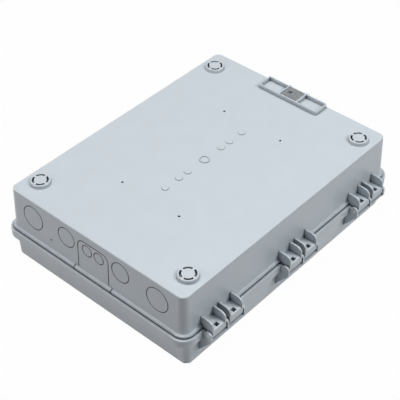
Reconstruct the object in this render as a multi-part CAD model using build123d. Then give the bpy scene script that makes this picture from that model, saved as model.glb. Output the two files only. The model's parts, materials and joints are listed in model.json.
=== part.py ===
from build123d import *
import math
import os

# A wall box for splicing and patching fibre cable, lying on its cover.
# Frame: origin in the middle of the cover's front face, +Z out of the back of the case,
# +X towards the hinges, -Y towards the cable entries, +Y towards the hanging frame.
# All sizes are millimetres.

# Case as a whole
case_width = 280.0
case_length = 380.0
corner_radius = 9.0
housing_depth = 59.6
cover_depth = 47.6
seam_gap = 1.2
wall = 3.0
wall_draft = 2.2
edge_rounding = 1.5
pin_chamfer = 0.3
screw_slot_width = 0.8
bolt_hole_clearance = 0.1

# Flange of the housing and rim of the cover
flange_reach = 3.1
flange_height = 2.6
flange_cove = 2.4
rim_reach = 8.8
rim_height = 11.0
rim_leg = 3.4
rim_edge_rounding = 0.7
cover_inset_x = 4.8
cover_inset_y = 8.5
cover_corner_radius = 9.5
cover_draft = 2.0
cover_front_rounding = 2.5
groove_depth = 8.0
groove_width = 4.0
groove_inner_leg = 1.8
tongue_width = 2.0
gasket_height = 4.0
seal_gap = 0.3
gasket_side_gap = 0.2

# Hinges: hooks on the housing hold rods that sit in ears of the cover
hinge_count = 3
hinge_end = 51.5
hinge_reach = 15.5
hinge_drop = 3.0
rod_radius = 2.0
rod_clearance = 0.07
rod_seat_clearance = 0.03
hook_reach = 4.4
hook_rise = 7.6
hook_rounding = 3.4
hook_inner_lip = 1.4
hook_lip_drop = 2.4
hook_mouth = 3.4
hook_web_thickness = 3.0
rib_rise = 19.8
rib_fall = 1.0
rib_thickness = 2.4
rib_rounding = 7.5
rib_inner_offset = 4.3
rib_outer_offset = 25.0
web_hole = 5.4
web_hole_start = 3.1
ear_radius = 5.3
ear_thickness = 3.0
ear_offset = 28.6
ear_straight = 8.0
ear_foot_height = 13.0
shelf_drop = 6.9
shelf_thickness = 1.8
shelf_reach = 4.4

# Swing latches on the side opposite the hinges
latch_count = 2
latch_end = 95.0
latch_width = 30.0
latch_reach = 5.4
latch_drop = 6.4
pin_radius = 1.5
pin_clearance = 0.06
pin_seat_clearance = 0.03
barrel_radius = 3.4
latch_arm_thickness = 2.4
latch_hook_bite = 5.0
latch_hook_thickness = 3.0
latch_finger = 3.4
latch_finger_swell = 1.2
latch_ear_thickness = 4.0
latch_ear_gap = 0.4
catch_height = 6.0
catch_reach = 12.0
catch_rise = 4.0
catch_clearance = 0.5
catch_rounding = 1.2
catch_inset = 2.0

# Back of the housing
boss_inset_x = 21.0
boss_inset_y = 30.5
boss_radius = 12.9
boss_top_radius = 12.2
boss_height = 4.4
boss_rounding = 0.8
boss_disc_radius = 7.7
boss_slot_width = 2.6
boss_slot_angle = 70.0
boss_slot_depth = 4.2
pilot_inset_x = 94.0
pilot_inset_y = 96.0
pilot_radius = 1.5
pilot_depth = 2.2
mark_centre_y = 3.0
mark_ring_radius = 6.5
mark_ring_width = 1.0
mark_disc_radius = 4.4
mark_height = 1.0
mark_offsets = (-71.0, -47.0, -31.0, 31.0, 47.0, 71.0)

# Hanging frame by the far edge of the back
hanger_width = 95.0
hanger_length = 24.2
hanger_height = 5.2
hanger_rim = 1.8
hanger_corner = 1.5
hanger_edge = 1.3
hanger_shift = 0.6
hanger_rib_offset = 13.9
hanger_tab_length = 3.0
hanger_tab_width = 5.0
hanger_fill = 3.4
hanger_hole_radius = 2.5
hanger_hole_depth = 5.4
hanger_hole_shift = -4.0
hanger_hole_rise = 1.5
hanger_pad_thickness = 1.2
hanger_pad_gap = 0.2
hanger_pad_hole_gap = 0.4

# Cable entries in the lower wall
groove_cut = 1.4
groove_line = 1.1
large_entry_radius = 16.8
large_entry_x = 101.0
large_entry_drop = 25.5
medium_entry_radius = 14.0
medium_entry_x = 44.0
medium_entry_drop = 21.7
vent_x = -71.0
vent_drop = 42.0
vent_radius = 1.3
insert_width = 49.0
insert_drop = 11.0
insert_radius = 9.5
insert_clearance = 0.5
insert_lap = 4.0
insert_lap_thickness = 2.0
insert_foot_width = 60.0
small_entry_radius = 8.2
small_entry_x = 9.5
small_entry_drop = 22.0

# Inner mounting plate on posts
post_height = 8.0
post_radius = 4.5
post_bore_radius = 1.5
plate_margin_x = 16.0
plate_margin_y = 18.0
plate_thickness = 1.5
plate_corner = 6.0
plate_screw_head_radius = 3.6
plate_screw_head_height = 2.2
plate_screw_radius = 1.4
plate_hole_clearance = 0.3
spare_hole_spacing_x = 110.0
spare_hole_spacing_y = 150.0
spare_hole_radius = 2.1

# Splice trays stacked on a stud
tray_count = 2
tray_width = 98.0
tray_length = 164.0
tray_height = 10.0
tray_wall = 1.6
tray_corner = 14.0
tray_spacer_rise = 0.6
tray_shift_y = 4.0
tray_port_width = 14.0
tray_guide_radius = 26.0
tray_guide_wall = 1.6
tray_guide_height = 7.0
tray_guide_gap = 14.0
tray_hub_radius = 6.0
comb_offset = 3.0
comb_width = 26.0
comb_length = 60.0
comb_height = 6.0
comb_slots = 6
comb_slot_width = 2.2
comb_slot_depth = 4.0
lid_thickness = 1.2
stud_radius = 2.5
stud_flange_radius = 5.0
stud_flange_height = 2.0
stud_spare = 7.0
stud_chamfer = 0.4
stud_fit = 0.05
stud_clearance = 0.4
nut_radius = 5.0
nut_height = 5.0
nut_wing_span = 22.0
nut_wing_thickness = 2.2
nut_wing_height = 7.0

# Adapter bracket with its row of adapters
adapter_count = 8
adapter_pitch = 17.0
adapter_width = 12.8
adapter_height = 9.2
adapter_length = 27.0
adapter_flange_width = 15.6
adapter_flange_height = 11.8
adapter_flange_length = 2.0
adapter_bore_radius = 3.4
adapter_bore_depth = 9.0
adapter_key_width = 3.0
adapter_key_rise = 2.0
adapter_row_drop = 4.0
adapter_fit = 0.2
cap_length = 6.0
cap_radius = 3.2
cap_head = 2.0
cap_head_width = 8.4
bracket_inset = 58.0
bracket_thickness = 1.5
bracket_height = 34.0
bracket_foot = 14.0
bracket_margin = 7.0
bracket_screw_radius = 1.8
bracket_screw_head_radius = 3.4
bracket_screw_head_height = 2.0
bracket_post_height = 5.0
bracket_post_radius = 4.5

# Cable clamps on a rail behind the entry wall
rail_inset = 24.0
rail_width = 12.0
rail_thickness = 2.0
rail_post_height = 5.0
rail_post_radius = 5.0
clamp_pitch = 84.0
clamp_count = 3
clamp_bore_radius = 6.5
clamp_wall = 2.5
clamp_width = 11.0
clamp_ear_length = 9.0
clamp_ear_thickness = 2.5
clamp_screw_radius = 1.6
clamp_screw_head_radius = 3.2
clamp_screw_head_height = 2.2

# Fibre clips along both sides of the floor
clip_rows = 2
clip_pitch = 150.0
clip_x = 104.0
clip_width = 12.0
clip_outer_radius = 12.0
clip_wall = 1.8
clip_mouth = 5.0
clip_base = 2.0
clip_shift_y = 26.0

# Splitter module in its holder
splitter_width = 60.0
splitter_length = 40.0
splitter_height = 9.0
splitter_inset = 43.0
splitter_rounding = 0.8
splitter_lead_radius = 1.5
splitter_lead_length = 8.0
splitter_lead_count = 4
holder_wall = 2.0
holder_height = 7.0
holder_gap = 0.3
holder_window = 30.0

# Heights and outlines that follow
rim_top = cover_depth
flange_z = cover_depth + seam_gap
back_z = flange_z + housing_depth
floor_z = back_z - wall
half_width = case_width / 2
half_length = case_length / 2
rim_x = half_width + rim_reach
rim_y = half_length + rim_reach
rim_radius = corner_radius + rim_reach
rim_z = rim_top - rim_height
body_x = rim_x - cover_inset_x
body_y = rim_y - cover_inset_y
hinge_pitch = (case_length - 2 * hinge_end) / (hinge_count - 1)
latch_pitch = (case_length - 2 * latch_end) / (latch_count - 1)
boss_spacing_x = case_width - 2 * boss_inset_x
boss_spacing_y = case_length - 2 * boss_inset_y
pilot_spacing_x = case_width - 2 * pilot_inset_x
pilot_spacing_y = case_length - 2 * pilot_inset_y
plate_width = pilot_spacing_x + 2 * plate_margin_x
plate_length = pilot_spacing_y + 2 * plate_margin_y
rail_y = rail_inset - half_length
bracket_y = bracket_inset - half_length
splitter_y = half_length - splitter_inset
hinge_x = half_width + hinge_reach
hinge_z = rim_top - hinge_drop
hook_bore = rod_radius + rod_clearance
group_half = ear_offset + ear_thickness / 2
latch_x = -(rim_x + latch_reach)
latch_z = rim_top - latch_drop
groove_outer_x = rim_x - rim_leg
groove_inner_x = groove_outer_x - groove_width
groove_inner_y = groove_inner_x - rim_x + rim_y
hollow_x = min(body_x - wall, groove_inner_x - groove_inner_leg)
hollow_y = min(body_y - wall, groove_inner_y - groove_inner_leg)
hollow_radius = cover_corner_radius - wall
groove_z = rim_top - groove_depth
rim_to_groove = rim_x - groove_outer_x
plate_z = floor_z - post_height
plate_low = plate_z - plate_thickness
spacer_low = plate_low - plate_screw_head_height - tray_spacer_rise
overlap = 1.0


def block(x0, x1, y0, y1, z0, z1):
    """A box from its lowest and highest corner."""
    middle = ((x0 + x1) / 2, (y0 + y1) / 2, (z0 + z1) / 2)
    return Pos(*middle) * Box(x1 - x0, y1 - y0, z1 - z0)


def slab(half_x, half_y, radius, z0, z1):
    """An upright slab with rounded vertical corners, centred on the Z axis."""
    outline = RectangleRounded(2 * half_x, 2 * half_y, radius)
    return extrude(Pos(0, 0, z0) * outline, z1 - z0)


def drafted(half_x, half_y, radius, z0, half_x1, half_y1, radius1, z1):
    """A slab whose walls lean from one rounded outline to another."""
    low = Pos(0, 0, z0) * RectangleRounded(2 * half_x, 2 * half_y, radius)
    high = Pos(0, 0, z1) * RectangleRounded(2 * half_x1, 2 * half_y1, radius1)
    return loft([low, high], ruled=True)


def post(x, y, z0, z1, radius):
    """A round post along Z."""
    return Pos(x, y, (z0 + z1) / 2) * Cylinder(radius, z1 - z0)


def rod_along_y(x, z, y0, y1, radius):
    """A round bar along Y."""
    return Pos(x, (y0 + y1) / 2, z) * Rot(90, 0, 0) * Cylinder(radius, y1 - y0)


def side_profile(points, roundings, y0, y1):
    """A polygon in X and Z, with some corners rounded, drawn out from y0 to y1."""
    face = make_face(Polyline(*points, close=True))
    for index, radius in roundings.items():
        corner = Vector(points[index][0], points[index][1], 0)
        nearest = face.vertices().sort_by_distance(corner)[0]
        face = fillet(nearest, radius)
    return extrude(Plane.XZ.offset(-y1) * face, y1 - y0)


def positions(count, pitch, middle=0.0):
    """Places along a line, evenly spaced about its middle."""
    return [middle + (index - (count - 1) / 2) * pitch for index in range(count)]


def four_corners(spacing_x, spacing_y, middle_y=0.0):
    """The four corners of a rectangle centred on the Y axis."""
    return [(sx * spacing_x / 2, middle_y + sy * spacing_y / 2) for sx in (-1, 1) for sy in (-1, 1)]


def wall_form(inset):
    """The drafted block inside the housing's outer faces, moved in by an inset."""
    foot = wall_draft - inset
    return drafted(
        half_width + foot,
        half_length + foot,
        corner_radius + foot,
        flange_z,
        half_width - inset,
        half_length - inset,
        corner_radius - inset,
        back_z,
    )


def wall_ring(x, z, radius):
    """A ring through the entry wall, of which break_out_lines keeps the outer skin."""
    y0 = -half_length - wall_draft - overlap
    outer = rod_along_y(x, z, y0, -half_length + wall, radius)
    return outer - rod_along_y(x, z, y0, -half_length + wall, radius - groove_line)


def break_out_lines(places):
    """Round break-out lines of one depth in the leaning entry wall, from x, z and radius."""
    rings = None
    for x, z, radius in places:
        ring = wall_ring(x, z, radius)
        rings = ring if rings is None else rings + ring
    return rings - wall_form(groove_cut)


def hinge_rib(y):
    """One upright rib of a hinge hook, rounded over at its outer end."""
    outer_x = hinge_x + hook_reach
    inner_x = hinge_x - hook_bore - hook_inner_lip
    top_z = hinge_z + rib_rise
    lip_z = hinge_z - hook_lip_drop
    points = [
        (half_width, top_z),
        (outer_x, top_z - rib_fall),
        (outer_x, lip_z),
        (inner_x, lip_z),
        (inner_x, flange_z),
        (half_width, flange_z),
    ]
    return side_profile(points, {1: rib_rounding}, y - rib_thickness / 2, y + rib_thickness / 2)


def hinge_web(y0, y1):
    """The plate between two ribs, which curls over the rod."""
    outer_x = hinge_x + hook_reach
    top_z = hinge_z + hook_rise
    points = [
        (half_width, top_z),
        (outer_x, top_z),
        (outer_x, hinge_z - hook_lip_drop),
        (hinge_x, hinge_z - hook_lip_drop),
        (hinge_x, top_z - hook_web_thickness),
        (half_width, top_z - hook_web_thickness),
    ]
    web = side_profile(points, {1: hook_rounding}, y0, y1)
    middle = (y0 + y1) / 2
    start = hinge_x - web_hole_start
    window = block(
        start, start + web_hole, middle - web_hole / 2, middle + web_hole / 2, hinge_z, top_z + overlap
    )
    return web - window


def hinge_hook(middle):
    """A pair of hooks: four ribs, two webs, and the snap-in seat for the rod."""
    hook = None
    for side in (-1, 1):
        inner = middle + side * rib_inner_offset
        outer = middle + side * rib_outer_offset
        pair = hinge_web(min(inner, outer), max(inner, outer)) + hinge_rib(inner) + hinge_rib(outer)
        hook = pair if hook is None else hook + pair
    seat = rod_along_y(hinge_x, hinge_z, middle - group_half, middle + group_half, hook_bore)
    half_mouth = hook_mouth / 2
    mouth = block(
        hinge_x - half_mouth,
        hinge_x + half_mouth,
        middle - group_half,
        middle + group_half,
        hinge_z - hook_lip_drop - overlap,
        hinge_z,
    )
    return hook - seat - mouth


def latch_catch(middle):
    """The ledge that a swing latch hooks over."""
    top_z = flange_z + flange_height + catch_rise + catch_height
    low_z = flange_z + flange_height + catch_rise
    outer_x = -(half_width + catch_reach)
    points = [
        (-half_width, low_z - catch_rise + overlap),
        (outer_x, low_z),
        (outer_x, top_z),
        (-half_width, top_z),
    ]
    half = latch_width / 2 - catch_inset
    return side_profile(points, {2: catch_rounding}, middle - half, middle + half)


def foot_boss(x, y):
    """A round foot on the back, with the four arc slots round its break-out disc."""
    boss = Pos(x, y, back_z + boss_height / 2) * Cone(boss_radius, boss_top_radius, boss_height)
    boss = fillet(boss.edges().group_by(Axis.Z)[-1], boss_rounding)
    boss = boss + post(x, y, back_z - overlap, back_z + overlap / 2, boss_top_radius)
    low_z = back_z + boss_height - boss_slot_depth
    outer = boss_disc_radius + boss_slot_width
    ring = post(x, y, low_z, back_z + boss_height + overlap, outer)
    ring = ring - post(x, y, low_z - overlap, back_z + boss_height + 2 * overlap, boss_disc_radius)
    reach = 2 * outer
    half = math.radians(boss_slot_angle / 2)
    slots = None
    for quarter in range(4):
        turn = 45 + 90 * quarter
        wedge = make_face(
            Polyline(
                (0, 0),
                (reach * math.cos(half), -reach * math.sin(half)),
                (reach * math.cos(half), reach * math.sin(half)),
                close=True,
            )
        )
        sector = extrude(Pos(x, y, low_z) * Rot(0, 0, turn) * wedge, boss_slot_depth + overlap)
        slot = ring & sector
        slots = slot if slots is None else slots + slot
    return boss - slots


def hanger_cell():
    """The lowest and highest X and Y of the frame's middle cell."""
    half_x = hanger_rib_offset - hanger_rim / 2
    y1 = half_length - hanger_edge - hanger_rim
    return hanger_shift - half_x, hanger_shift + half_x, y1 + 2 * hanger_rim - hanger_length, y1


def hanging_frame():
    """The low frame by the far edge of the back: two open cells, a filled one and two end tabs."""
    y1 = half_length - hanger_edge
    y0 = y1 - hanger_length
    low_x = hanger_shift - hanger_width / 2
    high_x = hanger_shift + hanger_width / 2
    top_z = back_z + hanger_height
    frame = block(low_x, high_x, y0, y1, back_z - overlap, top_z)
    frame = fillet(frame.edges().filter_by(Axis.Z), hanger_corner)
    low_z = back_z - overlap
    x0, x1, cell_y0, cell_y1 = hanger_cell()
    cells = [
        (low_x + hanger_rim, x0 - hanger_rim, low_z - overlap),
        (x0, x1, back_z + hanger_fill),
        (x1 + hanger_rim, high_x - hanger_rim, low_z - overlap),
    ]
    for x0, x1, cell_z in cells:
        frame = frame - block(x0, x1, cell_y0, cell_y1, cell_z, top_z + overlap)
    for side in (-1, 1):
        x = hanger_shift + side * hanger_rib_offset
        tab = block(
            x - hanger_tab_width / 2,
            x + hanger_tab_width / 2,
            y1 - overlap,
            y1 + hanger_tab_length,
            back_z - hanger_height,
            top_z - edge_rounding,
        )
        frame = frame + tab
    return frame


def hanger_hole_place():
    """Where the hanging hole stands in the middle cell."""
    return (hanger_hole_shift, half_length - hanger_edge - hanger_length / 2 + hanger_hole_rise)


def hanger_pad():
    """The rubber pad that lies in the middle cell, open over the hanging hole."""
    x0, x1, y0, y1 = hanger_cell()
    low_z = back_z + hanger_fill
    top_z = low_z + hanger_pad_thickness
    gap = hanger_pad_gap
    pad = block(x0 + gap, x1 - gap, y0 + gap, y1 - gap, low_z, top_z)
    hole_x, hole_y = hanger_hole_place()
    return pad - post(
        hole_x, hole_y, low_z - overlap, top_z + overlap, hanger_hole_radius + hanger_pad_hole_gap
    )


def centre_marks():
    """The ring and the row of low discs along the middle of the back."""
    top_z = back_z + mark_height
    marks = post(0, mark_centre_y, back_z - overlap, top_z, mark_ring_radius)
    marks = marks - post(
        0, mark_centre_y, back_z + mark_height / 4, top_z + overlap, mark_ring_radius - mark_ring_width
    )
    for offset in mark_offsets:
        y = mark_centre_y + offset
        marks = marks + post(0, y, back_z - overlap, top_z, mark_disc_radius)
    return marks


def entry_outline(clearance, y0, y1, low_z):
    """The U-shaped outline of the slide-in entry plate, grown by a clearance."""
    half = insert_width / 2 + clearance
    top_z = back_z - insert_drop + clearance
    radius = insert_radius + clearance
    upper = block(-half, half, y0, y1, low_z, top_z)
    corners = upper.edges().filter_by(Axis.Y).group_by(Axis.Z)[-1]
    return fillet(corners, radius)


def entry_foot(clearance, y0, y1, low_z):
    """The wider foot of the entry plate, as high as the flange and its cove."""
    half = insert_foot_width / 2 + clearance
    return block(-half, half, y0, y1, low_z, flange_z + flange_height + flange_cove + clearance)


def tongue_ring():
    """The sealing tongue under the flange."""
    middle_x = (groove_outer_x + groove_inner_x) / 2
    outer_x = middle_x + tongue_width / 2
    inner_x = middle_x - tongue_width / 2
    shift = rim_x - outer_x
    low_z = groove_z + gasket_height + seal_gap
    outer = slab(outer_x, rim_y - shift, rim_radius - shift, low_z, flange_z + overlap)
    shift = rim_x - inner_x
    inner = slab(inner_x, rim_y - shift, rim_radius - shift, low_z - overlap, flange_z + 2 * overlap)
    return outer - inner


def meets_wall_foot(edge):
    """Whether an edge is part of the line where the side walls stand on the flange."""
    foot_z = flange_z + flange_height
    reach_x = half_width + wall_draft
    reach_y = half_length + wall_draft
    return all(
        abs(end.Z - foot_z) < 0.01 and abs(end.X) < reach_x and abs(end.Y) < reach_y
        for end in (edge.position_at(0), edge.position_at(0.5), edge.position_at(1))
    )


def housing_outside():
    """The housing's outer form: drafted walls, rounded back edge, and flange with its cove."""
    reach = wall_draft + flange_reach
    flange = slab(
        half_width + reach, half_length + reach, corner_radius + reach, flange_z, flange_z + flange_height
    )
    shell = wall_form(0) + flange
    shell = fillet(shell.edges().group_by(Axis.Z)[-1], edge_rounding)
    cove = [edge for edge in shell.edges() if meets_wall_foot(edge)]
    return fillet(cove, flange_cove)


def housing_hollow():
    """The space inside the housing, with walls that lean as the outer ones do."""
    above = block(
        -case_width, case_width, -case_length, case_length, floor_z, back_z + overlap
    )
    foot = wall_draft - wall
    mouth = slab(half_width + foot, half_length + foot, corner_radius + foot, groove_z, flange_z + overlap / 2)
    return wall_form(wall) - above + mouth


def housing():
    """The back half of the case with everything moulded to it."""
    shell = housing_outside() + tongue_ring() - housing_hollow()
    for middle in positions(hinge_count, hinge_pitch):
        shell = shell + hinge_hook(middle)
    for middle in positions(latch_count, latch_pitch):
        shell = shell + latch_catch(middle)
    for x, y in four_corners(boss_spacing_x, boss_spacing_y):
        shell = shell + foot_boss(x, y)
    shell = shell + centre_marks() + hanging_frame()
    for x, y in four_corners(pilot_spacing_x, pilot_spacing_y):
        standoff = post(x, y, plate_z, floor_z + overlap, post_radius)
        standoff = standoff - post(x, y, plate_z - overlap, floor_z, post_bore_radius)
        shell = shell + standoff
        shell = shell - post(x, y, back_z - pilot_depth, back_z + overlap, pilot_radius)
    shell = shell + floor_posts()
    hole_x, hole_y = hanger_hole_place()
    mouth_z = back_z + hanger_fill
    shell = shell - post(
        hole_x, hole_y, mouth_z - hanger_hole_depth, mouth_z + overlap, hanger_hole_radius
    )
    return shell - entry_cuts()


def floor_posts():
    """Short posts on the floor for the bracket and the clamp rail, and the splitter holder."""
    posts = None
    for x in bracket_screw_places():
        y = bracket_y + bracket_foot / 2
        item = post(x, y, floor_z - bracket_post_height, floor_z + overlap, bracket_post_radius)
        item = item - post(
            x, y, floor_z - bracket_post_height - overlap, floor_z - overlap, post_bore_radius
        )
        posts = item if posts is None else posts + item
    for x in rail_post_places():
        item = post(x, rail_y, floor_z - rail_post_height, floor_z + overlap, rail_post_radius)
        item = item - post(
            x, rail_y, floor_z - rail_post_height - overlap, floor_z - overlap, post_bore_radius
        )
        posts = posts + item
    return posts + splitter_holder()


def splitter_holder():
    """A low open fence on the floor that the splitter module clips into."""
    half_x = splitter_width / 2 + holder_gap
    half_y = splitter_length / 2 + holder_gap
    low_z = floor_z - holder_height
    outer = block(
        -half_x - holder_wall,
        half_x + holder_wall,
        splitter_y - half_y - holder_wall,
        splitter_y + half_y + holder_wall,
        low_z,
        floor_z + overlap,
    )
    inner = block(
        -half_x, half_x, splitter_y - half_y, splitter_y + half_y, low_z - overlap, floor_z
    )
    window = block(
        -holder_window / 2,
        holder_window / 2,
        splitter_y - half_y - 2 * holder_wall,
        splitter_y + half_y + 2 * holder_wall,
        low_z - overlap,
        floor_z,
    )
    sides = block(
        -half_x - 2 * holder_wall,
        half_x + 2 * holder_wall,
        splitter_y - half_y / 2,
        splitter_y + half_y / 2,
        low_z - overlap,
        floor_z,
    )
    return outer - inner - window - sides


def entry_cuts():
    """Everything that is cut from the entry wall."""
    places = []
    for side in (-1, 1):
        places.append((side * large_entry_x, back_z - large_entry_drop, large_entry_radius))
        places.append((side * medium_entry_x, back_z - medium_entry_drop, medium_entry_radius))
    y0 = -half_length - wall_draft - flange_reach - overlap
    y1 = -half_length + wall + overlap
    dot = rod_along_y(vent_x, back_z - vent_drop, y0, -half_length, vent_radius)
    opening = entry_outline(insert_clearance, y0, y1, groove_z)
    foot = entry_foot(insert_clearance, y0, y1, groove_z)
    return break_out_lines(places) + dot + opening + foot


def entry_insert():
    """The plate that slides into the entry wall, with two small break-outs."""
    face_y = -half_length
    y0 = face_y - wall_draft - flange_reach - overlap
    y1 = face_y + wall
    blank = entry_outline(0, y0, y1, flange_z) + entry_foot(0, y0, y1, flange_z)
    plate = (blank & housing_outside()) - housing_hollow()
    half_foot = insert_foot_width / 2
    tongue = tongue_ring() & block(-half_foot, half_foot, -rim_y, 0, groove_z, flange_z + overlap)
    lap_half = half_foot + insert_lap
    lap_y = face_y + wall + insert_clearance
    lap = block(
        -lap_half,
        lap_half,
        lap_y,
        lap_y + insert_lap_thickness,
        flange_z,
        back_z - insert_drop + insert_lap,
    )
    lap = fillet(lap.edges().filter_by(Axis.Y).group_by(Axis.Z)[-1], insert_radius + insert_lap)
    neck = entry_outline(-insert_lap, face_y, lap_y + overlap, flange_z)
    plate = plate + tongue + lap + neck
    small_z = back_z - small_entry_drop
    return plate - break_out_lines([(side * small_entry_x, small_z, small_entry_radius) for side in (-1, 1)])


def cover_ear(y):
    """One ear of the cover: a rounded plate that runs down to the cover's side."""
    outer_x = hinge_x + ear_radius
    foot_x = body_x - cover_draft
    points = [
        (rim_x - overlap, rim_top),
        (hinge_x, rim_top),
        (hinge_x, hinge_z),
        (outer_x, hinge_z),
        (outer_x, hinge_z - ear_straight),
        (foot_x, ear_foot_height),
        (foot_x, rim_z + overlap),
        (rim_x - overlap, rim_z + overlap),
    ]
    y0 = y - ear_thickness / 2
    y1 = y + ear_thickness / 2
    return side_profile(points, {}, y0, y1) + rod_along_y(hinge_x, hinge_z, y0, y1, ear_radius)


def cover_hinge(middle):
    """Three ears and the shelf that joins them under the hooks."""
    group = None
    for offset in (-ear_offset, 0, ear_offset):
        ear = cover_ear(middle + offset)
        group = ear if group is None else group + ear
    shelf = block(
        rim_x - overlap,
        hinge_x + shelf_reach,
        middle - ear_offset,
        middle + ear_offset,
        hinge_z - shelf_drop - shelf_thickness,
        hinge_z - shelf_drop,
    )
    group = group + shelf
    seat = rod_along_y(
        hinge_x,
        hinge_z,
        middle - group_half - overlap,
        middle + group_half + overlap,
        rod_radius + rod_seat_clearance,
    )
    return group - seat


def latch_lug(middle):
    """The pair of lugs on the cover's rim that carry a latch pin."""
    lugs = None
    inner = latch_width / 2 + latch_ear_gap
    for side in (-1, 1):
        y0 = middle + side * inner
        y1 = middle + side * (inner + latch_ear_thickness)
        low_y, high_y = min(y0, y1), max(y0, y1)
        arm = block(latch_x, -rim_x + overlap, low_y, high_y, latch_z - barrel_radius, latch_z + barrel_radius)
        lug = arm + rod_along_y(latch_x, latch_z, low_y, high_y, barrel_radius)
        lugs = lug if lugs is None else lugs + lug
    reach = inner + latch_ear_thickness + overlap
    seat = rod_along_y(latch_x, latch_z, middle - reach, middle + reach, pin_radius + pin_seat_clearance)
    return lugs - seat


def cover():
    """The front half of the case: rim, drafted tray, seal groove, ears and latch lugs."""
    rim = slab(rim_x, rim_y, rim_radius, rim_z, rim_top)
    rim = fillet(rim.edges().group_by(Axis.Z)[-1], rim_edge_rounding)
    rim = fillet(rim.edges().group_by(Axis.Z)[0], rim_edge_rounding)
    body = drafted(
        body_x - cover_draft,
        body_y - cover_draft,
        cover_corner_radius - cover_draft,
        0,
        body_x,
        body_y,
        cover_corner_radius,
        rim_z + overlap,
    )
    body = fillet(body.edges().group_by(Axis.Z)[0], cover_front_rounding)
    shell = rim + body
    cavity = drafted(
        hollow_x - cover_draft,
        hollow_y - cover_draft,
        hollow_radius - cover_draft,
        wall,
        hollow_x,
        hollow_y,
        hollow_radius,
        rim_top + overlap,
    )
    shell = shell - cavity
    for middle in positions(hinge_count, hinge_pitch):
        shell = shell + cover_hinge(middle)
    for middle in positions(latch_count, latch_pitch):
        shell = shell + latch_lug(middle)
    return shell - groove_ring(groove_z, rim_top + overlap, 0)


def groove_ring(z0, z1, clearance):
    """The ring of space between the two legs of the seal groove, less a clearance."""
    outer_shift = rim_to_groove + clearance
    inner_shift = rim_to_groove + groove_width - clearance
    outer = slab(rim_x - outer_shift, rim_y - outer_shift, rim_radius - outer_shift, z0, z1)
    inner = slab(
        rim_x - inner_shift,
        rim_y - inner_shift,
        rim_radius - inner_shift,
        z0 - overlap,
        z1 + overlap,
    )
    return outer - inner


def cover_gasket():
    """The foam cord in the groove."""
    return groove_ring(groove_z, groove_z + gasket_height, gasket_side_gap)


def hinge_rod(middle):
    """The rod of one hinge group, between the outer faces of its ears."""
    rod = rod_along_y(hinge_x, hinge_z, middle - group_half, middle + group_half, rod_radius)
    return chamfer(rod.edges().filter_by(GeomType.CIRCLE), pin_chamfer)


def latch_pin(middle):
    """The pin of one latch, between the outer faces of its lugs."""
    reach = latch_width / 2 + latch_ear_gap + latch_ear_thickness
    pin = rod_along_y(latch_x, latch_z, middle - reach, middle + reach, pin_radius)
    return chamfer(pin.edges().filter_by(GeomType.CIRCLE), pin_chamfer)


def latch(middle):
    """A swing latch, hanging open: barrel, arm, hook with its arc, and finger lip."""
    catch_top = flange_z + flange_height + catch_rise + catch_height
    hook_arc = math.hypot(catch_top - latch_z, latch_hook_bite) + catch_clearance
    tip = hook_arc + latch_hook_thickness
    y0 = middle - latch_width / 2
    y1 = middle + latch_width / 2
    arm_outer = latch_x + barrel_radius
    arm_inner = arm_outer - latch_arm_thickness
    arm = block(arm_inner, arm_outer, y0, y1, latch_z - tip, latch_z)
    hook = block(
        latch_x - latch_hook_bite, arm_outer, y0, y1, latch_z - tip, latch_z - hook_arc / 2
    )
    hook = hook - rod_along_y(latch_x, latch_z, y0 - overlap, y1 + overlap, hook_arc)
    finger = side_profile(
        [
            (arm_outer - overlap, latch_z - tip),
            (arm_outer, latch_z - tip - latch_finger),
            (arm_outer + latch_finger_swell, latch_z - tip - latch_finger),
            (arm_outer, latch_z - tip + latch_finger),
            (arm_outer - overlap, latch_z - tip + latch_finger),
        ],
        {},
        y0,
        y1,
    )
    body = rod_along_y(latch_x, latch_z, y0, y1, barrel_radius) + arm + hook + finger
    return body - rod_along_y(
        latch_x, latch_z, y0 - overlap, y1 + overlap, pin_radius + pin_clearance
    )


def mounting_plate():
    """The flat steel plate on the floor posts, with screw, stud and spare holes."""
    plate = slab(plate_width / 2, plate_length / 2, plate_corner, plate_low, plate_z)
    hole_radius = plate_screw_radius + plate_hole_clearance
    for x, y in four_corners(pilot_spacing_x, pilot_spacing_y):
        plate = plate - post(x, y, plate_low - overlap, plate_z + overlap, hole_radius)
    for x, y in four_corners(spare_hole_spacing_x, spare_hole_spacing_y):
        plate = plate - post(x, y, plate_low - overlap, plate_z + overlap, spare_hole_radius)
    return plate - post(
        0, tray_shift_y, plate_low - overlap, plate_z + overlap, stud_radius + stud_fit
    )


def pan_screw(x, y, seat_z, length, shank, head_radius, head_height):
    """A pan-head screw driven up along +Z, its head under seat_z."""
    head = post(x, y, seat_z - head_height, seat_z, head_radius)
    head = chamfer(head.edges().group_by(Axis.Z)[0], head_height / 3)
    drive = block(
        x - head_radius / 2,
        x + head_radius / 2,
        y - screw_slot_width / 2,
        y + screw_slot_width / 2,
        seat_z - head_height - overlap,
        seat_z - head_height / 2,
    )
    return head + post(x, y, seat_z - overlap / 2, seat_z + length, shank) - drive


def plate_screws():
    """The four screws of the mounting plate."""
    length = plate_thickness + post_height - overlap
    return [
        pan_screw(
            x,
            y,
            plate_low,
            length,
            plate_screw_radius,
            plate_screw_head_radius,
            plate_screw_head_height,
        )
        for x, y in four_corners(pilot_spacing_x, pilot_spacing_y)
    ]


def tray_stack_z(level):
    """The upper face of the tray at a level, counted down from the spacer under the plate."""
    return spacer_low - level * tray_height


def tray_spacer():
    """The ring on the stud that keeps the trays clear of the plate's screw heads."""
    ring = post(0, tray_shift_y, spacer_low, plate_low, tray_hub_radius)
    return ring - post(0, tray_shift_y, spacer_low - overlap, plate_low + overlap, stud_radius + stud_clearance)


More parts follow.
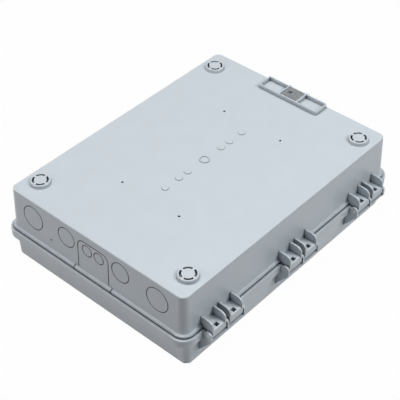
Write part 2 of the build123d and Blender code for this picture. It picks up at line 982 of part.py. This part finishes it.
def splice_tray(level):
    """One splice tray: floor, wall with fibre ports, two winding arcs and hub."""
    top_z = tray_stack_z(level)
    low_z = top_z - tray_height
    half_x = tray_width / 2
    half_y = tray_length / 2
    body = slab(half_x, half_y, tray_corner, low_z, top_z)
    body = body - slab(
        half_x - tray_wall,
        half_y - tray_wall,
        tray_corner - tray_wall,
        low_z - overlap,
        top_z - tray_wall,
    )
    for side_x in (-1, 1):
        for side_y in (-1, 1):
            x = side_x * (half_x - tray_corner - tray_port_width / 2)
            port = block(
                x - tray_port_width / 2,
                x + tray_port_width / 2,
                side_y * half_y - 2 * tray_wall,
                side_y * half_y + 2 * tray_wall,
                low_z - overlap,
                top_z - 2 * tray_wall,
            )
            body = body - port
    guide_low = top_z - tray_wall - tray_guide_height
    for side_y in (-1, 1):
        y = side_y * (half_y - tray_corner - tray_guide_radius)
        ring = post(0, y, guide_low, top_z - overlap / 2, tray_guide_radius)
        ring = ring - post(0, y, guide_low - overlap, top_z, tray_guide_radius - tray_guide_wall)
        gap = block(
            -tray_guide_radius * 2,
            tray_guide_radius * 2,
            y - tray_guide_gap / 2,
            y + tray_guide_gap / 2,
            guide_low - overlap,
            top_z,
        )
        inner_half = block(
            -tray_guide_radius * 2,
            tray_guide_radius * 2,
            min(y - side_y * tray_guide_radius * 2, y),
            max(y - side_y * tray_guide_radius * 2, y),
            guide_low - overlap,
            top_z,
        )
        body = body + (ring - gap - inner_half)
    body = body + post(0, 0, low_z, top_z, tray_hub_radius)
    body = body - post(0, 0, low_z - overlap, top_z + overlap, stud_radius + stud_clearance)
    return Pos(0, tray_shift_y, 0) * body


def splice_comb(level):
    """The rubber comb that holds the splice sleeves, beside the hub of a tray."""
    top_z = tray_stack_z(level) - tray_wall
    x0 = tray_hub_radius + comb_offset
    comb = block(
        x0,
        x0 + comb_width,
        tray_shift_y - comb_length / 2,
        tray_shift_y + comb_length / 2,
        top_z - comb_height,
        top_z,
    )
    pitch = comb_width / comb_slots
    for x in positions(comb_slots, pitch, x0 + comb_width / 2):
        slot = block(
            x - comb_slot_width / 2,
            x + comb_slot_width / 2,
            tray_shift_y - comb_length,
            tray_shift_y + comb_length,
            top_z - comb_height - overlap,
            top_z - comb_height + comb_slot_depth,
        )
        comb = comb - slot
    return comb


def tray_lid():
    """The clear lid under the lowest tray."""
    top_z = tray_stack_z(tray_count - 1) - tray_height
    lid = slab(tray_width / 2, tray_length / 2, tray_corner, top_z - lid_thickness, top_z)
    lid = lid - post(0, 0, top_z - 2 * lid_thickness, top_z + overlap, stud_radius + stud_clearance)
    return Pos(0, tray_shift_y, 0) * lid


def stack_bottom():
    """The underside of the tray stack with its lid."""
    return tray_stack_z(tray_count - 1) - tray_height - lid_thickness


def tray_stud():
    """The stud that the trays hang on, with its flange behind the plate."""
    low_z = stack_bottom() - stud_spare
    stud = post(0, tray_shift_y, low_z, plate_z, stud_radius)
    stud = chamfer(stud.edges().group_by(Axis.Z)[0], stud_chamfer)
    return stud + post(0, tray_shift_y, plate_z, plate_z + stud_flange_height, stud_flange_radius)


def wing_nut():
    """The wing nut under the lid."""
    top_z = stack_bottom()
    hub = post(0, 0, top_z - nut_height, top_z, nut_radius)
    half = nut_wing_span / 2
    low_z = top_z - nut_height - nut_wing_height / 2
    wings = block(
        -half, half, -nut_wing_thickness / 2, nut_wing_thickness / 2, low_z, low_z + nut_wing_height
    )
    wings = fillet(wings.edges().filter_by(Axis.Y), nut_wing_height / 2.5)
    between = block(
        -nut_radius, nut_radius, -nut_wing_thickness, nut_wing_thickness, low_z - overlap, top_z - nut_height
    )
    nut = hub + (wings - between)
    nut = nut - post(0, 0, top_z - nut_height - overlap, top_z + overlap, stud_radius + stud_fit)
    return Pos(0, tray_shift_y, 0) * nut


def bracket_half_width():
    """Half the width of the adapter bracket."""
    return adapter_count * adapter_pitch / 2 + bracket_margin


def bracket_screw_places():
    """Where the bracket is screwed down, along X."""
    place = bracket_half_width() - bracket_margin
    return (-place, place)


def adapter_middle_z():
    """The height of the row of adapters."""
    return floor_z - bracket_post_height - bracket_height / 2 - adapter_row_drop


def adapter_bracket():
    """The bent plate that holds the adapters: foot on the floor posts, upright with windows."""
    half = bracket_half_width()
    top_z = floor_z - bracket_post_height
    low_z = top_z - bracket_height
    points = [
        (bracket_y - bracket_thickness, low_z),
        (bracket_y, low_z),
        (bracket_y, top_z - bracket_thickness),
        (bracket_y + bracket_foot, top_z - bracket_thickness),
        (bracket_y + bracket_foot, top_z),
        (bracket_y - bracket_thickness, top_z),
    ]
    face = make_face(Polyline(*points, close=True))
    bracket = extrude(Plane.YZ.offset(-half) * face, 2 * half)
    outer_bend = [
        edge
        for edge in bracket.edges().filter_by(Axis.X)
        if abs(edge.center().Y - bracket_y + bracket_thickness) < 0.01 and abs(edge.center().Z - top_z) < 0.01
    ]
    bracket = fillet(outer_bend, bracket_thickness * 0.9)
    middle_z = adapter_middle_z()
    for x in positions(adapter_count, adapter_pitch):
        window = block(
            x - adapter_width / 2 - adapter_fit,
            x + adapter_width / 2 + adapter_fit,
            bracket_y - 2 * bracket_thickness,
            bracket_y + bracket_thickness,
            middle_z - adapter_height / 2 - adapter_fit,
            middle_z + adapter_height / 2 + adapter_fit,
        )
        bracket = bracket - window
    for x in bracket_screw_places():
        bracket = bracket - post(
            x,
            bracket_y + bracket_foot / 2,
            top_z - 2 * bracket_thickness,
            top_z + overlap,
            bracket_screw_radius,
        )
    return bracket


def bracket_screws():
    """The two screws of the adapter bracket."""
    seat_z = floor_z - bracket_post_height - bracket_thickness
    length = bracket_thickness + bracket_post_height - 2 * overlap
    return [
        pan_screw(
            x,
            bracket_y + bracket_foot / 2,
            seat_z,
            length,
            plate_screw_radius,
            bracket_screw_head_radius,
            bracket_screw_head_height,
        )
        for x in bracket_screw_places()
    ]


def fibre_adapter(x):
    """One adapter: a square sleeve with a flange against the bracket and a bore at each end."""
    middle_z = adapter_middle_z()
    middle_y = bracket_y - bracket_thickness - adapter_flange_length
    y0 = middle_y - adapter_length / 2 + adapter_flange_length
    y1 = y0 + adapter_length
    body = block(
        x - adapter_width / 2,
        x + adapter_width / 2,
        y0,
        y1,
        middle_z - adapter_height / 2,
        middle_z + adapter_height / 2,
    )
    flange_y = bracket_y - bracket_thickness
    flange = block(
        x - adapter_flange_width / 2,
        x + adapter_flange_width / 2,
        flange_y - adapter_flange_length,
        flange_y,
        middle_z - adapter_flange_height / 2,
        middle_z + adapter_flange_height / 2,
    )
    key = block(
        x - adapter_key_width / 2,
        x + adapter_key_width / 2,
        y0 - overlap,
        y0 + adapter_bore_depth,
        middle_z + adapter_key_rise,
        middle_z + adapter_height / 2 + overlap,
    )
    body = body + flange
    body = body - rod_along_y(x, middle_z, y0 - overlap, y0 + adapter_bore_depth, adapter_bore_radius)
    body = body - rod_along_y(x, middle_z, y1 - adapter_bore_depth, y1 + overlap, adapter_bore_radius)
    return body - key


def fibre_adapters():
    """The row of adapters."""
    return [fibre_adapter(x) for x in positions(adapter_count, adapter_pitch)]


def dust_cap(x, face_y, direction):
    """One dust cap: a plug in the adapter's bore with a square head outside it."""
    middle_z = adapter_middle_z()
    inside = face_y - direction * cap_length
    plug = rod_along_y(x, middle_z, min(face_y, inside), max(face_y, inside), cap_radius)
    outside = face_y + direction * cap_head
    head = block(
        x - cap_head_width / 2,
        x + cap_head_width / 2,
        min(face_y, outside),
        max(face_y, outside),
        middle_z - cap_head_width / 2,
        middle_z + cap_head_width / 2,
    )
    return plug + head


def dust_caps():
    """The caps in both ends of every adapter."""
    middle_y = bracket_y - bracket_thickness - adapter_flange_length
    y0 = middle_y - adapter_length / 2 + adapter_flange_length
    caps = []
    for x in positions(adapter_count, adapter_pitch):
        caps.append(dust_cap(x, y0, -1))
        caps.append(dust_cap(x, y0 + adapter_length, 1))
    return caps


def clamp_reach():
    """How far a clamp's ears reach from its middle."""
    return clamp_bore_radius + clamp_wall + clamp_ear_length


def rail_half_length():
    """Half the length of the rail, which runs past the outer clamps to its own screws."""
    return clamp_places()[-1] + clamp_reach() + rail_width


def rail_post_places():
    """Where the clamp rail is screwed down, along X."""
    place = rail_half_length() - rail_width / 2
    return (-place, place)


def rail_z():
    """The lower face of the clamp rail, which the clamps sit on."""
    return floor_z - rail_post_height - rail_thickness


def clamp_places():
    """Where the clamps stand on the rail, along X."""
    return positions(clamp_count, clamp_pitch)


def clamp_ear_place():
    """How far a clamp's screw stands from its middle."""
    return clamp_bore_radius + clamp_wall + clamp_ear_length / 2


def clamp_rail():
    """The flat steel rail that carries the clamps."""
    half = rail_half_length()
    rail = block(
        -half, half, rail_y - rail_width / 2, rail_y + rail_width / 2, rail_z(), rail_z() + rail_thickness
    )
    rail = fillet(rail.edges().filter_by(Axis.Z), rail_width / 4)
    for x in rail_post_places():
        rail = rail - post(
            x, rail_y, rail_z() - overlap, rail_z() + rail_thickness + overlap, bracket_screw_radius
        )
    for x in clamp_places():
        for side in (-1, 1):
            rail = rail - post(
                x + side * clamp_ear_place(),
                rail_y,
                rail_z() - overlap,
                rail_z() + rail_thickness + overlap,
                clamp_screw_radius + bolt_hole_clearance,
            )
    return rail


def rail_screws():
    """The screws of the clamp rail."""
    length = rail_thickness + rail_post_height - 2 * overlap
    return [
        pan_screw(
            x,
            rail_y,
            rail_z(),
            length,
            plate_screw_radius,
            bracket_screw_head_radius,
            bracket_screw_head_height,
        )
        for x in rail_post_places()
    ]


def cable_clamp(middle):
    """A saddle clamp: an arch open to the rail, with an ear and hole each side."""
    base_z = rail_z()
    y0 = rail_y - clamp_width / 2
    y1 = rail_y + clamp_width / 2
    outer = clamp_bore_radius + clamp_wall
    arch_z = base_z - clamp_bore_radius
    arch = rod_along_y(middle, arch_z, y0, y1, outer) + block(
        middle - outer, middle + outer, y0, y1, arch_z, base_z
    )
    reach = clamp_reach()
    arch = arch + block(middle - reach, middle + reach, y0, y1, base_z - clamp_ear_thickness, base_z)
    arch = arch - rod_along_y(middle, arch_z, y0 - overlap, y1 + overlap, clamp_bore_radius)
    arch = arch - block(
        middle - clamp_bore_radius,
        middle + clamp_bore_radius,
        y0 - overlap,
        y1 + overlap,
        arch_z,
        base_z,
    )
    arch = arch - block(middle - reach, middle + reach, y0 - overlap, y1 + overlap, base_z, base_z + outer)
    for side in (-1, 1):
        arch = arch - post(
            middle + side * clamp_ear_place(),
            rail_y,
            base_z - 2 * clamp_ear_thickness,
            base_z + overlap,
            clamp_screw_radius + bolt_hole_clearance,
        )
    return arch


def clamp_screws():
    """The screws of all clamps."""
    seat_z = rail_z() - clamp_ear_thickness
    length = clamp_ear_thickness + rail_thickness
    return [
        pan_screw(
            x + side * clamp_ear_place(),
            rail_y,
            seat_z,
            length,
            clamp_screw_radius,
            clamp_screw_head_radius,
            clamp_screw_head_height,
        )
        for x in clamp_places()
        for side in (-1, 1)
    ]


def fibre_clips():
    """The open ring clips that keep the slack fibres along both sides."""
    clips = []
    for side in (-1, 1):
        for y in positions(clip_rows, clip_pitch, clip_shift_y):
            x = side * clip_x
            middle_z = floor_z - clip_outer_radius
            y0 = y - clip_width / 2
            y1 = y + clip_width / 2
            clip = rod_along_y(x, middle_z, y0, y1, clip_outer_radius)
            clip = clip + block(
                x - clip_outer_radius, x + clip_outer_radius, y0, y1, floor_z - clip_base, floor_z
            )
            clip = clip - rod_along_y(
                x, middle_z, y0 - overlap, y1 + overlap, clip_outer_radius - clip_wall
            )
            clip = clip - block(
                x - clip_mouth / 2,
                x + clip_mouth / 2,
                y0 - overlap,
                y1 + overlap,
                middle_z - 2 * clip_outer_radius,
                middle_z,
            )
            clips.append(clip)
    return clips


def splitter_module():
    """The splitter: a flat case with short lead stubs at one end."""
    case = block(
        -splitter_width / 2,
        splitter_width / 2,
        splitter_y - splitter_length / 2,
        splitter_y + splitter_length / 2,
        floor_z - splitter_height,
        floor_z,
    )
    case = fillet(case.edges().group_by(Axis.Z)[0], splitter_rounding)
    pitch = holder_window / splitter_lead_count
    for x in positions(splitter_lead_count, pitch):
        case = case + rod_along_y(
            x,
            floor_z - splitter_height / 2,
            splitter_y - splitter_length / 2 - splitter_lead_length,
            splitter_y,
            splitter_lead_radius,
        )
    return case


def write(name, shape):
    """Writes one piece, or a group of like pieces, to its own file."""
    if isinstance(shape, list):
        shape = Compound(children=[solid for item in shape for solid in item.solids()])
    export_step(shape, "parts/" + name + ".step")


os.makedirs("parts", exist_ok=True)
write("housing", housing())
write("entry_insert", entry_insert())
write("hanger_pad", hanger_pad())
write("cover", cover())
write("cover_gasket", cover_gasket())
for number, middle in enumerate(positions(hinge_count, hinge_pitch), start=1):
    write("hinge_rod_" + str(number), hinge_rod(middle))
for number, middle in enumerate(positions(latch_count, latch_pitch), start=1):
    write("latch_" + str(number), latch(middle))
    write("latch_pin_" + str(number), latch_pin(middle))
write("mounting_plate", mounting_plate())
write("plate_screws", plate_screws())
for number in range(tray_count):
    write("splice_tray_" + str(number + 1), splice_tray(number))
    write("splice_comb_" + str(number + 1), splice_comb(number))
write("tray_spacer", tray_spacer())
write("tray_lid", tray_lid())
write("tray_stud", tray_stud())
write("wing_nut", wing_nut())
write("adapter_bracket", adapter_bracket())
write("bracket_screws", bracket_screws())
write("fibre_adapters", fibre_adapters())
write("dust_caps", dust_caps())
write("clamp_rail", clamp_rail())
write("rail_screws", rail_screws())
for number, middle in enumerate(clamp_places(), start=1):
    write("cable_clamp_" + str(number), cable_clamp(middle))
write("clamp_screws", clamp_screws())
write("fibre_clips", fibre_clips())
write("splitter_module", splitter_module())
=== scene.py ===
import json
import math

import bpy
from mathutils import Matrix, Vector

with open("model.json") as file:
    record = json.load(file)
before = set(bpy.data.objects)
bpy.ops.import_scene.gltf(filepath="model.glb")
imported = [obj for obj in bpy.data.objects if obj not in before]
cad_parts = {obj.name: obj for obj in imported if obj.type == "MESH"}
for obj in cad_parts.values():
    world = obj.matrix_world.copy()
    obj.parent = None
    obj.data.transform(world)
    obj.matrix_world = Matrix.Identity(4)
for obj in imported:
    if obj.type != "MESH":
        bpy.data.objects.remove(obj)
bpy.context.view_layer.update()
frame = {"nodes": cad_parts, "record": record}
scene = bpy.context.scene
scene.view_settings.view_transform = "Standard"


# Camera

CAMERA_AZIMUTH = math.radians(41.51)
CAMERA_ELEVATION = math.radians(41.49)
CAMERA_DISTANCE = 1.4781
CAMERA_TARGET = Vector((-0.0271, 0.0251, 0.0118))
CAMERA_LENS = 101.75
SENSOR_WIDTH = 36.0


def add_camera():
    data = bpy.data.cameras.new("camera")
    data.sensor_width = SENSOR_WIDTH
    data.lens = CAMERA_LENS
    camera = bpy.data.objects.new("camera", data)
    scene.collection.objects.link(camera)
    level = math.cos(CAMERA_ELEVATION)
    back = Vector((
        math.sin(CAMERA_AZIMUTH) * level,
        -math.cos(CAMERA_AZIMUTH) * level,
        math.sin(CAMERA_ELEVATION),
    ))
    camera.location = CAMERA_TARGET + back * CAMERA_DISTANCE
    camera.rotation_mode = "QUATERNION"
    camera.rotation_quaternion = (-back).to_track_quat("-Z", "Y")
    scene.camera = camera


add_camera()


# Nodes that the world, the floor and the materials share

def math_node(nodes, links, operation, first, second=0.0):
    """One Math node; a number is set on it and a socket is linked to it."""
    node = nodes.new("ShaderNodeMath")
    node.operation = operation
    for slot, value in enumerate((first, second)):
        if isinstance(value, float):
            node.inputs[slot].default_value = value
        else:
            links.new(value, node.inputs[slot])
    return node.outputs[0]


def seen_directly(nodes, links):
    """1 for camera, glossy and transmission rays, else 0."""
    rays = nodes.new("ShaderNodeLightPath").outputs
    seen = math_node(nodes, links, "MAXIMUM", rays["Is Camera Ray"], rays["Is Glossy Ray"])
    return math_node(nodes, links, "MAXIMUM", seen, rays["Is Transmission Ray"])


def mixed(nodes, links, share, first, second):
    mix = nodes.new("ShaderNodeMixShader")
    links.new(share, mix.inputs["Fac"])
    links.new(first.outputs[0], mix.inputs[1])
    links.new(second.outputs[0], mix.inputs[2])
    return mix.outputs[0]


# Lights, world and floor

COOL = (0.99, 1.0, 1.0)
WARM = (1.0, 0.955, 0.955)
LAMPS = {  # place in metres, power in watts, colour
    "lamp_overhead": ((0.0, 0.0, 1.96), 6.8, COOL),
    "lamp_far_high": ((-0.46, 0.46, 1.85), 4.5, COOL),
    "lamp_left_high": ((-0.46, -0.46, 1.85), 10.5, COOL),
    "lamp_right": ((1.22, 0.57, 1.40), 18.0, COOL),
    "lamp_left": ((-0.73, -1.56, 0.86), 7.4, WARM),
    "lamp_below": ((0.10, 0.0, -1.90), 16.0, COOL),
}
LAMP_DIAMETER = 0.90
LAMP_AIM = Vector((0.0, 0.0, 0.06))
WORLD_COLOUR = (0.97, 0.985, 1.0, 1.0)
WORLD_LEVEL = 0.02
WHITE = (1.0, 1.0, 1.0, 1.0)
FLOOR_HALF = 3.0
FLOOR_HEIGHT = -0.0004
FLOOR_COLOUR = (0.35, 0.355, 0.36, 1.0)
FLOOR_SEEN_THROUGH = 0.985


def add_lamps():
    for name, (place, power, colour) in LAMPS.items():
        data = bpy.data.lights.new(name, "AREA")
        data.shape = "DISK"
        data.size = LAMP_DIAMETER
        data.energy = power
        data.color = colour
        lamp = bpy.data.objects.new(name, data)
        lamp.location = place
        lamp.rotation_mode = "QUATERNION"
        lamp.rotation_quaternion = (LAMP_AIM - Vector(place)).to_track_quat("-Z", "Y")
        scene.collection.objects.link(lamp)


def background(nodes, colour, strength):
    node = nodes.new("ShaderNodeBackground")
    node.inputs["Color"].default_value = colour
    node.inputs["Strength"].default_value = strength
    return node


def add_world():
    """White to the eye and in reflections, a faint cool light to everything else."""
    world = bpy.data.worlds.new("world")
    scene.world = world
    world.use_nodes = True
    nodes, links = world.node_tree.nodes, world.node_tree.links
    nodes.clear()
    light = background(nodes, WORLD_COLOUR, WORLD_LEVEL)
    white = background(nodes, WHITE, 1.0)
    out = nodes.new("ShaderNodeOutputWorld")
    links.new(mixed(nodes, links, seen_directly(nodes, links), light, white), out.inputs["Surface"])


def floor_material():
    material = bpy.data.materials.new("floor_white")
    material.use_nodes = True
    nodes, links = material.node_tree.nodes, material.node_tree.links
    nodes.clear()
    matte = nodes.new("ShaderNodeBsdfDiffuse")
    matte.inputs["Color"].default_value = FLOOR_COLOUR
    clear = nodes.new("ShaderNodeBsdfTransparent")
    share = math_node(nodes, links, "MULTIPLY", seen_directly(nodes, links), FLOOR_SEEN_THROUGH)
    out = nodes.new("ShaderNodeOutputMaterial")
    links.new(mixed(nodes, links, share, matte, clear), out.inputs["Surface"])
    return material


def add_floor():
    """A floor that looks like the white behind it with a faint shadow, and is grey to the light."""
    half, z = FLOOR_HALF, FLOOR_HEIGHT
    mesh = bpy.data.meshes.new("floor")
    corners = [(-half, -half, z), (half, -half, z), (half, half, z), (-half, half, z)]
    mesh.from_pydata(corners, [], [(0, 1, 2, 3)])
    mesh.materials.append(floor_material())
    floor = bpy.data.objects.new("floor", mesh)
    scene.collection.objects.link(floor)
    floor.visible_shadow = False  # the open cover hangs below the floor and still gets its light


add_lamps()
add_world()
add_floor()


# Materials

# The gap round the entry insert, in metres: a neck with rounded upper corners on a wider foot; a
# band of painted shadow is drawn along it
GAP_HALF_WIDTH = 0.02475
GAP_RADIUS = 0.00975
GAP_TOP = 0.09765
GAP_FOOT_TOP = 0.0542
GAP_FOOT_HALF_WIDTH = 0.03025
GAP_WALL_LIMIT = -0.16
# the painted shadow band along the gap: darkest within the first distance, gone by the second, at
# its darkest this tone
GAP_DARK = 0.0006
GAP_FADE = 0.0010
GAP_SHADOW_TONE = 0.16

# Painted shade, where plastic is closed in: how far it reaches in metres, the lowest tone, and the
# ambient occlusion value from and to which it fades
NARROW_GAP_SHADE = {"distance": 0.0030, "low": 0.05, "start": 0.28, "end": 0.78}
INNER_CORNER_SHADE = {"distance": 0.010, "low": 0.60, "start": 0.20, "end": 0.85}

EDGE_SAMPLES = 6
SHADE_SAMPLES = 8
MIX_COLOUR_INPUTS = (6, 7)
MIX_COLOUR_OUTPUT = 2


class Tree:
    """A material's nodes, with short ways to make the ones that the finishes share."""

    def __init__(self, name):
        self.material = bpy.data.materials.new(name)
        self.material.use_nodes = True
        self.nodes = self.material.node_tree.nodes
        self.links = self.material.node_tree.links
        self.nodes.clear()
        self.shader = self.nodes.new("ShaderNodeBsdfPrincipled")
        out = self.nodes.new("ShaderNodeOutputMaterial")
        self.links.new(self.shader.outputs[0], out.inputs["Surface"])
        self.place = self.nodes.new("ShaderNodeTexCoord").outputs["Object"]

    def set(self, **values):
        for key, value in values.items():
            self.shader.inputs[key.replace("_", " ")].default_value = value

    def join(self, socket, name):
        self.links.new(socket, self.shader.inputs[name])

    def math(self, operation, first, second=0.0):
        return math_node(self.nodes, self.links, operation, first, second)

    def stretched(self, scale):
        mapping = self.nodes.new("ShaderNodeMapping")
        mapping.inputs["Scale"].default_value = scale
        self.links.new(self.place, mapping.inputs["Vector"])
        return mapping.outputs[0]

    def noise(self, scale, detail=2.0, vector=None):
        node = self.nodes.new("ShaderNodeTexNoise")
        node.inputs["Scale"].default_value = scale
        node.inputs["Detail"].default_value = detail
        self.links.new(vector or self.place, node.inputs["Vector"])
        return node.outputs[0]

    def cells(self, scale):
        node = self.nodes.new("ShaderNodeTexVoronoi")
        node.inputs["Scale"].default_value = scale
        self.links.new(self.place, node.inputs["Vector"])
        return node

    def between(self, value, low, high, start=0.3, end=0.7):
        node = self.nodes.new("ShaderNodeMapRange")
        node.inputs["From Min"].default_value = start
        node.inputs["From Max"].default_value = end
        node.inputs["To Min"].default_value = low
        node.inputs["To Max"].default_value = high
        self.links.new(value, node.inputs["Value"])
        return node.outputs[0]

    def shade(self, value, colour, spread, start=0.3, end=0.7):
        """A colour that varies by a share of itself with a value."""
        node = self.nodes.new("ShaderNodeMix")
        node.data_type = "RGBA"
        for slot, factor in zip(MIX_COLOUR_INPUTS, (1.0 - spread, 1.0 + spread)):
            node.inputs[slot].default_value = [min(1.0, c * factor) for c in colour] + [1.0]
        self.links.new(self.between(value, 0.0, 1.0, start, end), node.inputs[0])
        return node.outputs[MIX_COLOUR_OUTPUT]

    def bump(self, height, distance, strength, under=None):
        node = self.nodes.new("ShaderNodeBump")
        node.inputs["Distance"].default_value = distance
        node.inputs["Strength"].default_value = strength
        self.links.new(height, node.inputs["Height"])
        if under is not None:
            self.links.new(under, node.inputs["Normal"])
        return node.outputs[0]

    def soft_edges(self, radius):
        node = self.nodes.new("ShaderNodeBevel")
        node.samples = EDGE_SAMPLES
        node.inputs["Radius"].default_value = radius
        return node.outputs[0]

    def occlusion_shade(self, distance, low, start, end):
        """Painted shade from ambient occlusion: 1 in the open, down to low in a narrow gap or an
        inner corner.
        """
        node = self.nodes.new("ShaderNodeAmbientOcclusion")
        node.samples = SHADE_SAMPLES
        node.inputs["Distance"].default_value = distance
        return self.between(node.outputs["AO"], low, 1.0, start, end)

    def painted_gap_shadow(self):
        """Painted shadow: dark in a narrow band along the gap round the entry insert, else 1."""
        split = self.nodes.new("ShaderNodeSeparateXYZ")
        self.links.new(self.place, split.inputs[0])
        x, y, z = split.outputs
        beside = self.math("ABSOLUTE", x)
        corner_x = self.math("SUBTRACT", beside, GAP_HALF_WIDTH - GAP_RADIUS)
        corner_z = self.math("SUBTRACT", z, GAP_TOP - GAP_RADIUS)
        square_x = self.math("POWER", self.math("MAXIMUM", corner_x, 0.0), 2.0)
        square_z = self.math("POWER", self.math("MAXIMUM", corner_z, 0.0), 2.0)
        reach = self.math("SQRT", self.math("ADD", square_x, square_z))
        neck_away = self.math("ABSOLUTE", self.math("SUBTRACT", reach, GAP_RADIUS))
        neck = self.math("MAXIMUM", neck_away, self.math("LESS_THAN", z, GAP_FOOT_TOP))
        foot_away = self.math("ABSOLUTE", self.math("SUBTRACT", beside, GAP_FOOT_HALF_WIDTH))
        foot = self.math("MAXIMUM", foot_away, self.math("GREATER_THAN", z, GAP_FOOT_TOP))
        away = self.math("MINIMUM", neck, foot)
        band = self.between(away, GAP_SHADOW_TONE, 1.0, GAP_DARK, GAP_FADE)
        return self.math("MAXIMUM", band, self.math("GREATER_THAN", y, GAP_WALL_LIMIT))

    def darkened(self, colour, share):
        node = self.nodes.new("ShaderNodeVectorMath")
        node.operation = "SCALE"
        self.links.new(colour, node.inputs[0])
        self.links.new(share, node.inputs["Scale"])
        return node.outputs[0]


def moulded(name, colour, roughness, edge=0.0005, grain=0.25, spread=0.012, entry=False):
    """Moulded plastic: spark-eroded grain, a slow change of tone and gloss, softened edges, and
    painted shade darkening the colour in gaps and inner corners.
    """
    tree = Tree(name)
    # painted shade: the colour darkens in narrow gaps and inner corners
    painted_shade = tree.math("MULTIPLY", tree.occlusion_shade(**NARROW_GAP_SHADE), tree.occlusion_shade(**INNER_CORNER_SHADE))
    # painted shadow along the gap round the entry insert
    if entry:
        painted_shade = tree.math("MULTIPLY", painted_shade, tree.painted_gap_shadow())
    tone = tree.shade(tree.noise(scale=38.0), colour, spread)
    tree.join(tree.darkened(tone, painted_shade), "Base Color")
    gloss = tree.between(tree.noise(scale=21.0), roughness - 0.03, roughness + 0.04)
    tree.join(gloss, "Roughness")
    grains = tree.noise(scale=1500.0, detail=3.0)
    tree.join(tree.bump(grains, 0.00005, grain, tree.soft_edges(edge)), "Normal")
    return tree.material


def sheet_steel(name, colour, roughness):
    """Galvanised sheet: crystal patches of slightly different tone and gloss."""
    tree = Tree(name)
    tree.set(Metallic=1.0)
    patches = tree.cells(scale=160.0).outputs["Color"]
    tree.join(tree.shade(patches, colour, 0.07, 0.0, 1.0), "Base Color")
    tree.join(tree.between(patches, roughness - 0.06, roughness + 0.08, 0.0, 1.0), "Roughness")
    grains = tree.noise(scale=900.0)
    tree.join(tree.bump(grains, 0.00003, 0.2, tree.soft_edges(0.0003)), "Normal")
    return tree.material


def drawn_steel(name, colour, roughness):
    """Drawn or turned steel: fine lines along Y."""
    tree = Tree(name)
    tree.set(Metallic=1.0)
    lines = tree.noise(scale=1.0, detail=3.0, vector=tree.stretched((2200.0, 60.0, 2200.0)))
    tree.join(tree.shade(lines, colour, 0.08), "Base Color")
    tree.join(tree.between(lines, roughness - 0.05, roughness + 0.08), "Roughness")
    tree.join(tree.bump(lines, 0.00003, 0.25, tree.soft_edges(0.0002)), "Normal")
    return tree.material


def soft_rubber(name, colour, cell, spread=0.18):
    """Rubber or foam: small cells, no gloss."""
    tree = Tree(name)
    pores = tree.cells(scale=cell).outputs["Distance"]
    tree.join(tree.shade(pores, colour, spread, 0.0, 0.6), "Base Color")
    tree.join(tree.between(tree.noise(scale=60.0), 0.62, 0.80), "Roughness")
    tree.join(tree.bump(pores, 0.00015, 0.35), "Normal")
    return tree.material


def clear_sheet(name):
    """Clear lid: thin polished plastic with the faintest haze."""
    tree = Tree(name)
    tree.set(Base_Color=(0.93, 0.96, 0.97, 1.0), Transmission_Weight=1.0, IOR=1.35)
    tree.join(tree.between(tree.noise(scale=30.0), 0.03, 0.09), "Roughness")
    tree.join(tree.bump(tree.noise(scale=90.0), 0.00004, 0.15), "Normal")
    return tree.material


GREY = (0.575, 0.630, 0.675)
MOULDED = {
    # the shell gets the painted shadow along the entry insert's gap
    "shell_plastic": dict(colour=GREY, roughness=0.32, edge=0.0006, entry=True),
    "cover_plastic": dict(colour=GREY, roughness=0.32, edge=0.0006),
    "latch_plastic": dict(colour=GREY, roughness=0.36, edge=0.0004),
    "tray_plastic": dict(colour=(0.74, 0.76, 0.75), roughness=0.40, edge=0.0002, grain=0.15),
    "nut_plastic": dict(
        colour=(0.030, 0.031, 0.033), roughness=0.42, edge=0.0003, grain=0.2, spread=0.08
    ),
    "clamp_plastic": dict(
        colour=(0.035, 0.036, 0.039), roughness=0.44, edge=0.0003, grain=0.3, spread=0.08
    ),
    "clip_plastic": dict(
        colour=(0.72, 0.71, 0.66), roughness=0.38, edge=0.0003, grain=0.15, spread=0.03
    ),
    "module_plastic": dict(
        colour=(0.52, 0.54, 0.55), roughness=0.30, edge=0.0003, grain=0.1, spread=0.02
    ),
    "adapter_plastic": dict(
        colour=(0.012, 0.170, 0.065), roughness=0.24, edge=0.0002, grain=0.08, spread=0.06
    ),
    "cap_plastic": dict(
        colour=(0.72, 0.72, 0.69), roughness=0.30, edge=0.0002, grain=0.08, spread=0.03
    ),
}
SLOT_MATERIALS = {name: moulded(name, **values) for name, values in MOULDED.items()}
SLOT_MATERIALS.update({
    "pad_rubber": soft_rubber("pad_rubber", (0.165, 0.172, 0.178), cell=620.0, spread=0.55),
    "pin_steel": drawn_steel("pin_steel", (0.52, 0.52, 0.53), roughness=0.30),
    "screw_steel": drawn_steel("screw_steel", (0.62, 0.62, 0.63), roughness=0.28),
    "plate_steel": sheet_steel("plate_steel", (0.56, 0.57, 0.58), roughness=0.36),
    "comb_rubber": soft_rubber("comb_rubber", (0.020, 0.023, 0.026), cell=700.0),
    "seal_foam": soft_rubber("seal_foam", (0.012, 0.012, 0.013), cell=900.0),
    "clear_plastic": clear_sheet("clear_plastic"),
})


def dress_nodes():
    slot_of = {row["node"]: row["material_slot"] for row in frame["record"]["subparts"]}
    for node, piece in frame["nodes"].items():
        material = SLOT_MATERIALS[slot_of[node]]
        if not piece.data.materials:
            piece.data.materials.append(material)
        for slot in piece.material_slots:
            slot.material = material


dress_nodes()
